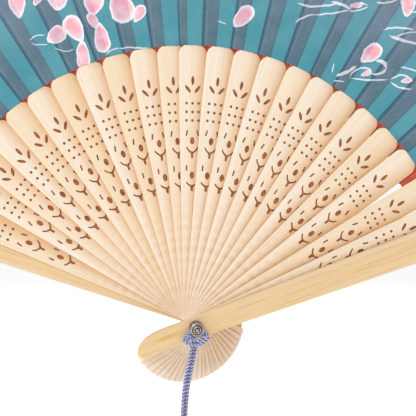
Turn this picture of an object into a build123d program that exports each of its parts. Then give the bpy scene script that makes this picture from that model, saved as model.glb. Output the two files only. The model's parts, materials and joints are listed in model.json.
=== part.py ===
"""Folding bamboo hand fan: pierced ribs, two guards, a pleated cloth leaf, a rivet and a tassel.

Millimetres. The fan stands open, +Z up its middle and +X to the right, with its front to -Y.
The origin is on the rivet's axis, half way through the stack of sticks. Angles are measured
from +X towards +Z, and the sticks are counted from the back guard, on the left, to the
front guard, on the right. Each stick lies in front of the one before it.
"""

from build123d import *
from math import atan2, cos, degrees, pi, radians, sin, tan
import os

os.makedirs("parts", exist_ok=True)

# Driving dimensions
LEAF_RADIUS = 190.0  # pivot to the leaf's outer edge
SHOULDER_RADIUS = 100.0  # pivot to the ribs' shoulders, where the leaf begins
HEAD_RADIUS = 22.5  # pivot to the rounded lower end of a rib
GUARD_HEAD_RADIUS = 21.5
BACK_GUARD_ANGLE = 158.4

# How far each stick is turned from the one before it with the fan open, in degrees:
# from the back guard to the first rib, from rib to rib, then from the last rib to the front guard
OPENING_STEPS = [5.2, 7.3, 6.0, 5.8, 5.8, 5.7, 5.8, 5.9, 5.9, 5.9, 5.8, 4.6]
OPENING_STEPS += [5.9, 5.7, 5.8, 5.9, 5.4, 5.7, 6.2, 6.2, 6.2, 7.4, 6.6, 4.1]

# The stack, through the fan
STACK_PITCH = 0.90  # from one rib to the next along the pin
RIB_THICKNESS = 0.75
GUARD_THICKNESS = 2.00
CLOTH_THICKNESS = 0.15
SLIP_THICKNESS = 0.35  # the thin end of a rib, behind the leaf
SLIP_FRONT = 0.025  # from a rib's middle plane back to its slip's front face

# Sticks, half widths at places along the stick
NECK_HALF = 3.05
RIB_HEAD_HALF = 3.60
BELLY_HALF = 4.90
BELLY_AT = 77.0
SHOULDER_HALF = 5.15
SHOULDER_TOP_HALF = 3.10
SHOULDER_ROUND = 3.90  # length of the rounded corners of a shoulder
RIB_LEAN = 0.60  # a rib's middle line passes this far beside the pin
SLIP_HALF = 1.75
SLIP_TIP_HALF = 1.25
SLIP_END = 187.0
GUARD_PIVOT_HALF = 3.65
GUARD_HALF = 6.00
GUARD_WIDEST_FROM = 100.0
GUARD_END = 192.0

# Pierced pattern, distances along the rib
LEAFLET_LENGTH = 3.3
LEAFLET_WIDTH = 1.15
TOP_LEAFLET_AT = 87.4
SIDE_LEAFLET_AT = 84.3
SIDE_LEAFLET_OUT = 1.75
SIDE_LEAFLET_TILT = 38.0
DOTS_AT = 76.1
DOT_ROWS_APART = 3.1
DOT_COLUMNS_APART = 2.2
DOT_RADIUS = 0.50
UPPER_SLITS_AT = 68.5
LOWER_SLITS_AT = 55.8
SLIT_OUT = 2.0
SLIT_LENGTH = 2.2
SLIT_WIDTH = 0.62
SLIT_TILT = 12.0
UPPER_BUD_AT = 65.6
LOWER_BUD_AT = 53.1
BUD_LENGTH = 2.7
BUD_WIDTH = 1.7
UPPER_CUP_AT = 61.4  # where a cup's two arms meet its stem
LOWER_CUP_AT = 49.3
CUP_ARM_OUT = 1.9
CUP_ARM_RISE = 1.8
CUP_LINE = 0.70
CUP_STEM = 2.0
BURN_DEPTH = 0.30  # the pattern is burnt this deep from both faces

# Rivet
PIN_RADIUS = 1.50
PIN_CLEARANCE = 0.05
WASHER_RADIUS = 2.60
WASHER_THICKNESS = 0.45
SEAT_RADIUS = 3.20
SEAT_DEPTH = 0.30
CAP_RADIUS = 2.45
CAP_BACK = 14.60  # in front of the origin
CAP_FRONT = 16.30
REAR_HEAD_HEIGHT = 1.30

# Leaf
LIGHT_PANEL_HALF = 1.45  # degrees each side of its stick
FOLD_STEP = 0.525  # how deep a folded-back panel stands
LEAF_GAP = 0.15  # between a shoulder and the leaf

# Cord and tassel
STRAND_RADIUS = 0.70
KNOT_PLANE = -13.76
KNOT_RING_RADIUS = 2.35
KNOT_BAR_RADIUS = 1.00
KNOT_BAR_HEIGHT = -3.90
KNOT_BAR_LEFT = -3.50
KNOT_BAR_RIGHT = 3.20
TASSEL_X = -5.30
TASSEL_Y = -14.00
BEAD_RADIUS = 3.20
BEAD_END_RADIUS = 1.20
BEAD_MIDDLE = -64.50
TASSEL_HEAD_RADIUS = 3.30
WAIST_RADIUS = 2.60
SKIRT_SHOULDER_RADIUS = 4.00
SKIRT_RADIUS = 4.80
SKIRT_TOP = -76.00
SKIRT_BOTTOM = -122.00

# Middle line of the doubled cord, then how far each strand stands left and in front of it
CORD_ROUTE = [
    (-0.6, -13.76, -4.2, 0.75, 0.00),
    (-1.8, -13.80, -10.6, 0.75, 0.02),
    (-3.3, -13.88, -16.0, 0.74, 0.10),
    (-4.3, -13.96, -22.6, 0.70, 0.26),
    (-4.9, -14.00, -30.4, 0.62, 0.42),
    (-5.2, -14.02, -40.6, 0.54, 0.52),
    (-5.3, -14.00, -51.6, 0.48, 0.57),
    (-5.3, -14.03, -62.2, 0.44, 0.61),
]

stick_angles = [BACK_GUARD_ANGLE]
for step in OPENING_STEPS:
    stick_angles.append(stick_angles[-1] - step)
last_stick = len(stick_angles) - 1
rib_numbers = range(1, last_stick)
middle_stick = last_stick / 2
hole_radius = PIN_RADIUS + PIN_CLEARANCE


def stick_level(number):
    """Y of a stick's middle plane."""
    return (middle_stick - number) * STACK_PITCH


inner_face = stick_level(0) - RIB_THICKNESS / 2
outer_face = inner_face + GUARD_THICKNESS


def facing(level, angle=0.0):
    """Plane at Y = level that faces the front, with its x axis out along the given angle."""
    along = (cos(radians(angle)), 0, sin(radians(angle)))
    return Plane(origin=(0, level, 0), x_dir=along, z_dir=(0, -1, 0))


def dome_radius(half_width, height):
    """Radius of a dome that is centred on its axis."""
    return (half_width**2 + height**2) / (2 * height)


def save(part, name):
    part.label = name
    export_step(part, f"parts/{name}.step")


# Ribs

with BuildSketch() as leaflet:
    with BuildLine():
        half = LEAFLET_LENGTH / 2
        ThreePointArc((-half, 0), (0, LEAFLET_WIDTH / 2), (half, 0))
        ThreePointArc((half, 0), (0, -LEAFLET_WIDTH / 2), (-half, 0))
    make_face()


with BuildSketch() as cup:
    arm = (CUP_ARM_OUT**2 + CUP_ARM_RISE**2) ** 0.5
    for side in (1, -1):
        with Locations((CUP_ARM_RISE / 2, side * CUP_ARM_OUT / 2)):
            SlotCenterToCenter(arm, CUP_LINE, rotation=side * degrees(atan2(CUP_ARM_OUT, CUP_ARM_RISE)))
    with Locations((-CUP_STEM / 2, 0)):
        SlotCenterToCenter(CUP_STEM, CUP_LINE * 1.3)


with BuildSketch() as pattern:
    with Locations((TOP_LEAFLET_AT, 0)):
        add(leaflet.sketch)
    for side in (1, -1):
        with Locations(Location((SIDE_LEAFLET_AT, side * SIDE_LEAFLET_OUT), side * SIDE_LEAFLET_TILT)):
            add(leaflet.sketch)
        with Locations((UPPER_SLITS_AT, side * SLIT_OUT)):
            SlotOverall(SLIT_LENGTH, SLIT_WIDTH, rotation=-side * SLIT_TILT)
        with Locations((LOWER_SLITS_AT, side * SLIT_OUT)):
            SlotOverall(SLIT_LENGTH, SLIT_WIDTH)
    with Locations((DOTS_AT, 0)):
        with GridLocations(DOT_ROWS_APART, DOT_COLUMNS_APART, 3, 3):
            Circle(DOT_RADIUS)
    with Locations((UPPER_BUD_AT, 0), (LOWER_BUD_AT, 0)):
        Ellipse(BUD_LENGTH / 2, BUD_WIDTH / 2)
    with Locations((UPPER_CUP_AT, 0), (LOWER_CUP_AT, 0)):
        add(cup.sketch)


# A rib's thick part, from its rounded head past the pin to its shoulder
with BuildSketch() as rib_outline:
    head_centre = -HEAD_RADIUS + RIB_HEAD_HALF
    corner = SHOULDER_RADIUS - SHOULDER_ROUND
    left = [(head_centre, RIB_HEAD_HALF), (0, NECK_HALF)]
    right = [(head_centre, -RIB_HEAD_HALF), (0, -NECK_HALF)]
    for along, half_width in ((BELLY_AT, BELLY_HALF), (corner, SHOULDER_HALF)):
        left.append((along, half_width + RIB_LEAN))
        right.append((along, -half_width + RIB_LEAN))
    top_left = (SHOULDER_RADIUS, SHOULDER_TOP_HALF + RIB_LEAN)
    top_right = (SHOULDER_RADIUS, -SHOULDER_TOP_HALF + RIB_LEAN)
    with BuildLine():
        Polyline(left)
        RadiusArc(left[-1], top_left, SHOULDER_ROUND)
        Line(top_left, top_right)
        RadiusArc(top_right, right[-1], SHOULDER_ROUND)
        Polyline(right)
        ThreePointArc(right[0], (-HEAD_RADIUS, 0), left[0])
    make_face()
    Circle(hole_radius, mode=Mode.SUBTRACT)

# Its thin end behind the leaf
with BuildSketch() as slip_outline:
    root = SHOULDER_RADIUS - LEAF_GAP
    with BuildLine():
        Polyline(
            (root, SLIP_HALF + RIB_LEAN),
            (SLIP_END, SLIP_TIP_HALF + RIB_LEAN),
            (SLIP_END, -SLIP_TIP_HALF + RIB_LEAN),
            (root, -SLIP_HALF + RIB_LEAN),
            close=True,
        )
    make_face()


def make_rib(number):
    level, angle = stick_level(number), stick_angles[number]
    back = facing(level + RIB_THICKNESS / 2, angle)
    front = facing(level - RIB_THICKNESS / 2, angle)
    with BuildPart() as rib:
        with BuildSketch(back):
            add(rib_outline.sketch)
        extrude(amount=RIB_THICKNESS)
        with BuildSketch(back):
            add(slip_outline.sketch)
        extrude(amount=SLIP_THICKNESS)
        for face_plane, inwards in ((front, -BURN_DEPTH), (back, BURN_DEPTH)):
            with BuildSketch(face_plane):
                with Locations((0, RIB_LEAN)):
                    add(pattern.sketch)
            extrude(amount=inwards, mode=Mode.SUBTRACT)
    save(rib.part, f"rib_{number:02d}")


for number in rib_numbers:
    make_rib(number)


# Guards


# The outer stick, with a rounded head, widening to the leaf, and a rounded tip
with BuildSketch() as guard_outline:
    head_centre = -GUARD_HEAD_RADIUS + GUARD_PIVOT_HALF
    tip_centre = GUARD_END - GUARD_HALF
    with BuildLine():
        for side in (1, -1):
            Polyline(
                (head_centre, side * GUARD_PIVOT_HALF),
                (0, side * GUARD_PIVOT_HALF),
                (GUARD_WIDEST_FROM, side * GUARD_HALF),
            )
            Line((GUARD_WIDEST_FROM, side * GUARD_HALF), (tip_centre, side * GUARD_HALF))
        ThreePointArc((tip_centre, GUARD_HALF), (GUARD_END, 0), (tip_centre, -GUARD_HALF))
        ThreePointArc(
            (head_centre, -GUARD_PIVOT_HALF),
            (-GUARD_HEAD_RADIUS, 0),
            (head_centre, GUARD_PIVOT_HALF),
        )
    make_face()
    Circle(hole_radius, mode=Mode.SUBTRACT)


def make_guard(name, angle, inner, outwards, leaf_recess):
    """A guard whose inner face is at Y = inner. The leaf's end panel lies in its recess."""
    with BuildPart() as guard:
        with BuildSketch(facing(inner, angle)):
            add(guard_outline.sketch)
        extrude(amount=-outwards * GUARD_THICKNESS)
        recess_length = GUARD_END - SHOULDER_RADIUS + LEAF_GAP * 2
        with BuildSketch(facing(inner, angle)):
            with Locations((GUARD_END, 0)):
                Rectangle(recess_length, GUARD_HALF * 3, align=(Align.MAX, Align.CENTER))
        extrude(amount=-outwards * leaf_recess, mode=Mode.SUBTRACT)
        with BuildSketch(facing(inner + outwards * GUARD_THICKNESS, angle)):
            Circle(SEAT_RADIUS)
        extrude(amount=outwards * SEAT_DEPTH, mode=Mode.SUBTRACT)
    save(guard.part, name)


back_recess = stick_level(0) + SLIP_FRONT - inner_face
front_recess = -inner_face - (stick_level(last_stick) + SLIP_FRONT - CLOTH_THICKNESS)
make_guard("back_guard", stick_angles[0], inner_face, 1, back_recess)
make_guard("front_guard", stick_angles[last_stick], -inner_face, -1, front_recess)


# Leaf: each panel is glued to the front of its stick's slip, and the next one folds back from it


def sector(low_angle, high_angle):
    """A piece of the leaf between two folds."""
    inner, outer = SHOULDER_RADIUS + LEAF_GAP, LEAF_RADIUS
    corners = [
        (radius * cos(radians(angle)), radius * sin(radians(angle)))
        for radius, angle in (
            (inner, low_angle),
            (outer, low_angle),
            (outer, high_angle),
            (inner, high_angle),
        )
    ]
    with BuildSketch() as panel:
        with BuildLine():
            Line(corners[0], corners[1])
            CenterArc((0, 0), outer, low_angle, high_angle - low_angle)
            Line(corners[2], corners[3])
            CenterArc((0, 0), inner, low_angle, high_angle - low_angle)
        make_face()
    return panel.sketch


def make_pleat(number):
    level, angle = stick_level(number) + SLIP_FRONT, stick_angles[number]
    with BuildPart() as pleat:
        with BuildSketch(facing(level)):
            add(sector(angle - LIGHT_PANEL_HALF, angle + LIGHT_PANEL_HALF))
        extrude(amount=CLOTH_THICKNESS)
        if number < last_stick:
            with BuildSketch(facing(level)):
                add(sector(stick_angles[number + 1] + LIGHT_PANEL_HALF, angle - LIGHT_PANEL_HALF))
            extrude(amount=FOLD_STEP)
    save(pleat.part, f"pleat_{number:02d}")


for number in range(last_stick + 1):
    make_pleat(number)


# Rivet, turned about the Y axis. The profiles hold (radius, Y)

rear_seat = outer_face - SEAT_DEPTH
rear_head_base = rear_seat + WASHER_THICKNESS
rear_head_top = rear_head_base + REAR_HEAD_HEIGHT
pin_front = -CAP_BACK - 0.6

with BuildPart() as pivot_pin:
    with BuildSketch(Plane.XY):
        with BuildLine():
            Line((0, pin_front), (PIN_RADIUS, pin_front))
            Line((PIN_RADIUS, pin_front), (PIN_RADIUS, rear_head_base))
            Line((PIN_RADIUS, rear_head_base), (CAP_RADIUS, rear_head_base))
            rear_dome = dome_radius(CAP_RADIUS, REAR_HEAD_HEIGHT)
            RadiusArc((CAP_RADIUS, rear_head_base), (0, rear_head_top), -rear_dome)
            Line((0, rear_head_top), (0, pin_front))
        make_face()
    revolve(axis=Axis.Y)
save(pivot_pin.part, "pivot_pin")

with BuildPart() as rivet_cap:
    boss_half, boss_base, groove = 0.62, -CAP_FRONT + 0.25, -CAP_FRONT + 0.50
    ring_inner, ring_outer, rim_inner = 1.02, 1.42, 1.72
    rim_front, side_front = -CAP_FRONT + 0.50, -CAP_BACK - 0.65
    with BuildSketch(Plane.XY):
        with BuildLine():
            Polyline((0, pin_front), (PIN_RADIUS, pin_front), (PIN_RADIUS, -CAP_BACK))
            Polyline((PIN_RADIUS, -CAP_BACK), (CAP_RADIUS - 0.2, -CAP_BACK), (CAP_RADIUS, -CAP_BACK - 0.2))
            Line((CAP_RADIUS, -CAP_BACK - 0.2), (CAP_RADIUS, side_front))
            Line((CAP_RADIUS, side_front), (CAP_RADIUS - 0.25, rim_front + 0.1))
            Line((CAP_RADIUS - 0.25, rim_front + 0.1), (rim_inner, rim_front))
            Polyline((rim_inner, rim_front), (rim_inner - 0.15, groove + 0.2), (ring_outer, boss_base))
            RadiusArc((ring_outer, boss_base), (ring_inner, boss_base), -0.25)
            Polyline((ring_inner, boss_base), (ring_inner - 0.2, groove), (boss_half, boss_base))
            RadiusArc((boss_half, boss_base), (0, -CAP_FRONT), dome_radius(boss_half, 0.25))
            Line((0, -CAP_FRONT), (0, pin_front))
        make_face()
    revolve(axis=Axis.Y)
save(rivet_cap.part, "rivet_cap")

with BuildPart() as pivot_washers:
    for level in (rear_seat + WASHER_THICKNESS, -outer_face + SEAT_DEPTH - PIN_CLEARANCE):
        with BuildSketch(facing(level)):
            Circle(WASHER_RADIUS)
            Circle(hole_radius, mode=Mode.SUBTRACT)
        extrude(amount=WASHER_THICKNESS)
save(pivot_washers.part, "pivot_washers")


# Cord, knotted round the rivet's neck and doubled down to the tassel

with BuildPart() as cord_knot:
    with BuildSketch(Plane.XY):
        with Locations((KNOT_RING_RADIUS, KNOT_PLANE)):
            Circle(STRAND_RADIUS)
    revolve(axis=Axis.Y)
    with BuildSketch(Plane.YZ.offset(KNOT_BAR_LEFT)):
        with Locations((KNOT_PLANE, KNOT_BAR_HEIGHT)):
            Circle(KNOT_BAR_RADIUS)
    extrude(amount=KNOT_BAR_RIGHT - KNOT_BAR_LEFT)
save(cord_knot.part, "cord_knot")


def arc_radius(before, corner, after):
    """The largest arc that leaves part of both runs straight."""
    run_in, run_out = Vector(*corner) - Vector(*before), Vector(*after) - Vector(*corner)
    half_turn = radians(run_in.get_angle(run_out)) / 2
    return 0.45 * min(run_in.length, run_out.length) / tan(half_turn)


def make_strand(name, side):
    points = [(x + side * out, y + side * behind, z) for x, y, z, out, behind in CORD_ROUTE]
    radii = [arc_radius(*points[i - 1 : i + 2]) for i in range(1, len(points) - 1)]
    with BuildPart() as strand:
        with BuildLine() as route:
            FilletPolyline(points, radius=radii)
        with BuildSketch(Plane(origin=route.wire() @ 0, z_dir=route.wire() % 0)):
            Circle(STRAND_RADIUS)
        sweep()
    length = route.wire().length
    share = strand.part.volume / (length * pi * STRAND_RADIUS**2)
    print(name, f"{length:.1f} mm, volume share {share:.4f}, radii", [round(r) for r in radii])
    save(strand.part, name)


make_strand("cord_left", -1)
make_strand("cord_right", 1)

bead_half_height = (BEAD_RADIUS**2 - BEAD_END_RADIUS**2) ** 0.5
tassel_axis = Axis((TASSEL_X, TASSEL_Y, 0), (0, 0, 1))
tassel_plane = Plane(origin=(TASSEL_X, TASSEL_Y, 0), x_dir=(1, 0, 0), z_dir=(0, -1, 0))

with BuildPart() as tassel_bead:
    bead_top, bead_bottom = BEAD_MIDDLE + bead_half_height, BEAD_MIDDLE - bead_half_height
    with BuildSketch(tassel_plane):
        with BuildLine():
            Line((0, bead_top), (BEAD_END_RADIUS, bead_top))
            ThreePointArc(
                (BEAD_END_RADIUS, bead_top), (BEAD_RADIUS, BEAD_MIDDLE), (BEAD_END_RADIUS, bead_bottom)
            )
            Line((BEAD_END_RADIUS, bead_bottom), (0, bead_bottom))
            Line((0, bead_bottom), (0, bead_top))
        make_face()
    revolve(axis=tassel_axis)
save(tassel_bead.part, "tassel_bead")

with BuildPart() as tassel_head:
    head_top, waist = bead_bottom, SKIRT_TOP + 2.8
    with BuildSketch(tassel_plane):
        with BuildLine():
            Line((0, head_top), (1.6, head_top))
            ThreePointArc((1.6, head_top), (TASSEL_HEAD_RADIUS, head_top - 2.4), (WAIST_RADIUS, waist))
            Polyline((WAIST_RADIUS, waist), (WAIST_RADIUS, SKIRT_TOP), (0, SKIRT_TOP), (0, head_top))
        make_face()
    revolve(axis=tassel_axis)
save(tassel_head.part, "tassel_head")

with BuildPart() as tassel_skirt:
    with BuildSketch(tassel_plane):
        with BuildLine():
            Polyline(
                (0, SKIRT_TOP),
                (WAIST_RADIUS, SKIRT_TOP),
                (SKIRT_SHOULDER_RADIUS, SKIRT_TOP - 8),
                (SKIRT_RADIUS, SKIRT_BOTTOM),
                (0, SKIRT_BOTTOM),
                close=True,
            )
        make_face()
    revolve(axis=tassel_axis)
save(tassel_skirt.part, "tassel_skirt")
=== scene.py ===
"""Folding bamboo hand fan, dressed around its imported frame.

Metres, in the frame of the CAD model: +Z up the middle of the open fan, its front to -Y, and the
origin on the rivet's axis. Shapes of single sticks are drawn in millimetres, along the stick from
the pivot and across it to the left, then turned into place.
"""

import json
import math

import bmesh
import bpy
import numpy as np
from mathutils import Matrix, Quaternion, Vector
from mathutils.geometry import delaunay_2d_cdt


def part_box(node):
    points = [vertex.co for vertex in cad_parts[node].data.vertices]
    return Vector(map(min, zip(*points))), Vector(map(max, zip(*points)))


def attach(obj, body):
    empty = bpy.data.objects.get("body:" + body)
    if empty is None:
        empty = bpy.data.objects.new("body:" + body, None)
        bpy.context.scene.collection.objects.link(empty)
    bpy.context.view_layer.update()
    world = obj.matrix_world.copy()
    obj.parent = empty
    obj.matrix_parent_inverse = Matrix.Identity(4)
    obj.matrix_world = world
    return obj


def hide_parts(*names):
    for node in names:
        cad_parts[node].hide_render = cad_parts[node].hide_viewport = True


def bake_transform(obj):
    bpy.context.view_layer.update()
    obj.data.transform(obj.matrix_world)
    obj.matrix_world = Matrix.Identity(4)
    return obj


MM = 0.001
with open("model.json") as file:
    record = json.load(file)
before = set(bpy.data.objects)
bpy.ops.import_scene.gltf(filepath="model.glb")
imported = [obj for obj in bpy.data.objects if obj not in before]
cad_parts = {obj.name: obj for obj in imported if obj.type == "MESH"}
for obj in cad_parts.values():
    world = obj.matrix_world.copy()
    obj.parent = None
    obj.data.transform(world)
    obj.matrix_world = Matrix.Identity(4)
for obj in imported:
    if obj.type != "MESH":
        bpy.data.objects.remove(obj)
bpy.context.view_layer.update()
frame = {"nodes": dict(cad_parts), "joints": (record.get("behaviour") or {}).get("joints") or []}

# The sticks, from the back guard on the left to the front guard on the right
BACK_GUARD_ANGLE = 158.4
opening_steps = [joint["range_deg"][1] for joint in frame["joints"]]
stick_angles = [BACK_GUARD_ANGLE]
for step in opening_steps:
    stick_angles.append(stick_angles[-1] - step)
last_stick = len(stick_angles) - 1


def middle_level(node):
    low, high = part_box(node)
    return (low.y + high.y) / 2 / MM


stack_pitch = middle_level("rib_01") - middle_level("rib_02")
levels = [middle_level("rib_01") + (1 - i) * stack_pitch for i in range(last_stick + 1)]


# ---------------------------------------------------------------- node graphs


def math_node(operation, reflected=False):
    """A method of Wire that adds a Math node, with the other value first where it is reflected."""
    if reflected:
        return lambda wire, other: wire.graph.maths(operation, other, wire)
    return lambda wire, *others: wire.graph.maths(operation, wire, *others)


class Wire:
    """A node's output. Arithmetic on it adds Math nodes."""

    def __init__(self, graph, socket):
        self.graph, self.socket = graph, socket

    def maths(self, operation, *values):
        return self.graph.maths(operation, self, *values)

    __add__ = __radd__ = math_node("ADD")
    __sub__, __rsub__ = math_node("SUBTRACT"), math_node("SUBTRACT", True)
    __mul__ = __rmul__ = math_node("MULTIPLY")
    __truediv__, __rtruediv__ = math_node("DIVIDE"), math_node("DIVIDE", True)
    __pow__, __abs__ = math_node("POWER"), math_node("ABSOLUTE")
    over, top, least = math_node("GREATER_THAN"), math_node("MAXIMUM"), math_node("MINIMUM")


class Graph:
    """A node tree, shader or geometry."""

    def __init__(self, tree):
        self.tree = tree

    def join(self, value, socket):
        if isinstance(value, Wire):
            self.tree.links.new(value.socket, socket)
        elif value is not None:
            socket.default_value = value

    def node(self, kind, settings=None, sockets=None, output=0):
        made = self.tree.nodes.new(kind)
        for key, value in (settings or {}).items():
            if key == "stops":
                elements = made.color_ramp.elements
                elements.remove(elements[1])
                elements[0].position, elements[0].color = value[0]
                for position, colour in value[1:]:
                    elements.new(position).color = colour
            else:
                setattr(made, key, value)
        for key, value in (sockets or {}).items():
            self.join(value, made.inputs[key])
        return Wire(self, made.outputs[output])

    def maths(self, operation, *values):
        return self.node("ShaderNodeMath", {"operation": operation}, dict(enumerate(values)))

    def vector(self, operation, *values, output=0):
        sockets = dict(enumerate(values))
        return self.node("ShaderNodeVectorMath", {"operation": operation}, sockets, output)

    def scaled(self, wire, factor):
        return self.node("ShaderNodeVectorMath", {"operation": "SCALE"}, {0: wire, "Scale": factor})

    def split(self, wire):
        made = self.node("ShaderNodeSeparateXYZ", None, {0: wire})
        return [Wire(self, out) for out in made.socket.node.outputs]

    def point(self, x=0.0, y=0.0, z=0.0):
        return self.node("ShaderNodeCombineXYZ", None, {0: x, 1: y, 2: z})

    def mix(self, factor, first, second, blend="MIX"):
        settings = {"data_type": "RGBA", "blend_type": blend}
        return self.node("ShaderNodeMix", settings, {0: factor, 6: first, 7: second}, 2)

    def ease(self, value, low, high, start=0.0, end=1.0):
        """From start to end, smoothly, as value goes from low to high."""
        sockets = {0: value, 1: low, 2: high, 3: start, 4: end}
        return self.node("ShaderNodeMapRange", {"interpolation_type": "SMOOTHSTEP"}, sockets)

    def noise(self, where, scale, detail=2.0, roughness=0.5, output=0):
        sockets = {"Vector": where, "Scale": scale, "Detail": detail, "Roughness": roughness}
        return self.node("ShaderNodeTexNoise", None, sockets, output)

    def attribute(self, name, output="Fac"):
        return self.node("ShaderNodeAttribute", {"attribute_name": name}, None, output)

    def uv(self, name):
        return self.node("ShaderNodeUVMap", {"uv_map": name})


def paint(red, green, blue):
    """A colour given in 0 to 255, as a shader wants it."""
    channels = []
    for value in (red, green, blue):
        value /= 255
        channels.append(value / 12.92 if value <= 0.04045 else ((value + 0.055) / 1.055) ** 2.4)
    return (*channels, 1.0)


class Finish(Graph):
    """A material. Its shader's varying sockets are joined with put()."""

    def __init__(self, name, **constants):
        self.material = bpy.data.materials.new(name)
        self.material.use_nodes = True
        super().__init__(self.material.node_tree)
        self.shader = self.tree.nodes["Principled BSDF"]
        for key, value in constants.items():
            self.shader.inputs[key.replace("_", " ")].default_value = value

    def put(self, **sockets):
        for key, value in sockets.items():
            self.join(value, self.shader.inputs[key.replace("_", " ")])
        return self.material

    def place(self):
        return self.node("ShaderNodeTexCoord", None, None, "Object")

    def wash(self, base, value, low, high, strength, colour):
        """The colour laid over the base, more of it as value goes from low to high."""
        return self.mix(self.ease(value, low, high) * strength, base, colour)

    def done(self, colour, roughness, height, strength, distance):
        """The material with this colour, this roughness and a relief of this height."""
        sockets = {"Height": height, "Strength": strength, "Distance": distance}
        relief = self.node("ShaderNodeBump", None, sockets)
        return self.put(Base_Color=colour, Roughness=roughness, Normal=relief)


# ---------------------------------------------------------------- mesh helpers


def make_object(name, mesh):
    made = bpy.data.objects.new(name, mesh)
    bpy.context.scene.collection.objects.link(made)
    return made


def make_mesh(name, points, faces, materials=(), finish_of=None, maps=None, smooth=True):
    """A mesh. finish_of is each face's material number, and maps holds UV maps by corner."""
    mesh = bpy.data.meshes.new(name)
    mesh.from_pydata([tuple(p) for p in points], [], faces)
    for material in materials:
        mesh.materials.append(material)
    if finish_of is not None:
        mesh.polygons.foreach_set("material_index", finish_of)
    mesh.polygons.foreach_set("use_smooth", [smooth] * len(mesh.polygons))
    for key, corners in (maps or {}).items():
        layer = mesh.uv_layers.new(name=key)
        layer.data.foreach_set("uv", np.asarray(corners, np.float32).ravel())
    mesh.update()
    return mesh


def face_outwards(mesh):
    shape = bmesh.new()
    shape.from_mesh(mesh)
    bmesh.ops.recalc_face_normals(shape, faces=shape.faces)
    shape.to_mesh(mesh)
    shape.free()
    return mesh


def direction(angle):
    return math.cos(math.radians(angle)), math.sin(math.radians(angle))


def evaluated_mesh(thing):
    bpy.context.view_layer.update()
    graph = bpy.context.evaluated_depsgraph_get()
    return bpy.data.meshes.new_from_object(thing.evaluated_get(graph), depsgraph=graph)


def grow(tree, values, start=None):
    """The mesh that a Geometry Nodes tree makes of a starting mesh and these inputs."""
    seed = make_object("seed", start or bpy.data.meshes.new("seed"))
    modifier = seed.modifiers.new("grow", "NODES")
    modifier.node_group = tree
    for item in tree.interface.items_tree:
        if item.in_out == "INPUT" and item.name in values:
            modifier[item.identifier] = values[item.name]
    mesh = evaluated_mesh(seed)
    bpy.data.objects.remove(seed)
    return mesh


class Growth(Graph):
    """A Geometry Nodes tree with named inputs.
    """

    KINDS = {float: "NodeSocketFloat", int: "NodeSocketInt"}

    def __init__(self, name, **inputs):
        super().__init__(bpy.data.node_groups.new(name, "GeometryNodeTree"))
        sockets = self.tree.interface
        sockets.new_socket("Geometry", in_out="INPUT", socket_type="NodeSocketGeometry")
        sockets.new_socket("Geometry", in_out="OUTPUT", socket_type="NodeSocketGeometry")
        for key, kind in inputs.items():
            sockets.new_socket(key, in_out="INPUT", socket_type=self.KINDS[kind])
        source = self.tree.nodes.new("NodeGroupInput")
        self.start = Wire(self, source.outputs["Geometry"])
        self.given = {key: Wire(self, source.outputs[key]) for key in inputs}

    def store(self, shape, name, value, kind="FLOAT"):
        settings = {"data_type": kind, "domain": "POINT"}
        sockets = {0: shape, "Name": name, "Value": value}
        return self.node("GeometryNodeStoreNamedAttribute", settings, sockets)

    def named(self, name, kind="FLOAT"):
        return self.node("GeometryNodeInputNamedAttribute", {"data_type": kind}, {"Name": name})

    def tube(self, line, sides, radius):
        """A smooth closed tube along a curve."""
        sockets = {"Resolution": sides, "Radius": radius}
        ring = self.node("GeometryNodeCurvePrimitiveCircle", {"mode": "RADIUS"}, sockets)
        sockets = {"Curve": line, "Profile Curve": ring, "Fill Caps": True}
        tube = self.node("GeometryNodeCurveToMesh", None, sockets)
        sockets = {"Geometry": tube, "Shade Smooth": True}
        return self.node("GeometryNodeSetShadeSmooth", None, sockets)

    def finish(self, shape, material, marked=None, marked_by=None):
        shape = self.node("GeometryNodeRealizeInstances", None, {0: shape})
        shape = self.node("GeometryNodeSetMaterial", None, {"Geometry": shape, "Material": material})
        if marked is not None:
            chosen = self.named(marked_by).over(0.5)
            sockets = {"Geometry": shape, "Selection": chosen, "Material": marked}
            shape = self.node("GeometryNodeSetMaterial", None, sockets)
        out = self.tree.nodes.new("NodeGroupOutput")
        self.join(shape, out.inputs[0])
        return self.tree


TURNED_SHARP = math.radians(40)  # a steeper edge than this on a turned piece stays sharp


def lathe(name, profile, centre, axis, material, steps=64):
    """A turned piece: profile is (radius, height) from one end to the other, in mm, about Z or Y."""
    points, rings = [], []
    for radius, height in profile:
        if radius < 1e-6:
            rings.append([len(points)])
            spots = [(0.0, 0.0)]
        else:
            rings.append(list(range(len(points), len(points) + steps)))
            turns = [2 * math.pi * k / steps for k in range(steps)]
            spots = [(radius * math.cos(t), radius * math.sin(t)) for t in turns]
        for a, b in spots:
            local = (a, b, height) if axis == "Z" else (a, height, b)
            points.append([(c + x) * MM for c, x in zip(centre, local)])
    faces = []
    for low, high in zip(rings, rings[1:]):
        for k in range(steps):
            n = (k + 1) % steps
            face = [low[k % len(low)], low[n % len(low)], high[n % len(high)], high[k % len(high)]]
            faces.append([v for i, v in enumerate(face) if v not in face[:i]])
    for ring, end in ((rings[0], 0), (rings[-1], 1)):
        if len(ring) > 1:
            faces.append(ring if end else ring[::-1])
    mesh = face_outwards(make_mesh(name, points, faces, [material]))
    mesh.set_sharp_from_angle(angle=TURNED_SHARP)
    return make_object(name, mesh)


# ---------------------------------------------------------------- camera, light and floor

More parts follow.
